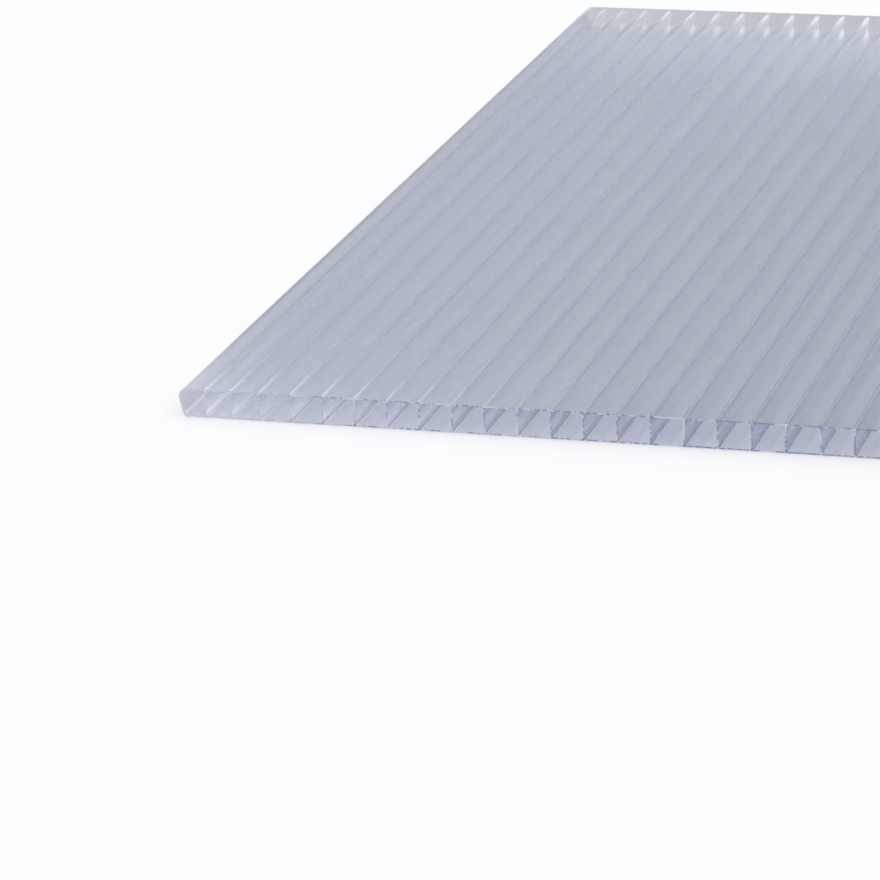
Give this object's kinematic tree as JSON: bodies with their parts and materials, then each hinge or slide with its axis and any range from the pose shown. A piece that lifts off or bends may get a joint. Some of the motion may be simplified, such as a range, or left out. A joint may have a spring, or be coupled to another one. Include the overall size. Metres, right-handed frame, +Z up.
{
  "type": "multiwall polycarbonate sheet",
  "caption": "Clear twin-wall polycarbonate sheet, 10 mm thick, with hollow flutes open at both cut ends, upright webs and closed, rounded long edges. It glazes roofs, walls and cold frames.",
  "frame": {"origin": "centre of the bottom face, which lies on the floor", "axes": "+X across the flutes, along the sheet's width; +Y along the flutes; +Z up, through the thickness"},
  "size_m": [0.7, 0.54, 0.01],
  "materials": {
    "clear_polycarbonate": "clear extruded polycarbonate with smooth glossy skins, a faint blue-grey tint through the depth of the sheet and slightly darker sawn ends"
  },
  "bodies": {
    "root": {"twinwall_sheet": "clear_polycarbonate"}
  },
  "joints": []
}
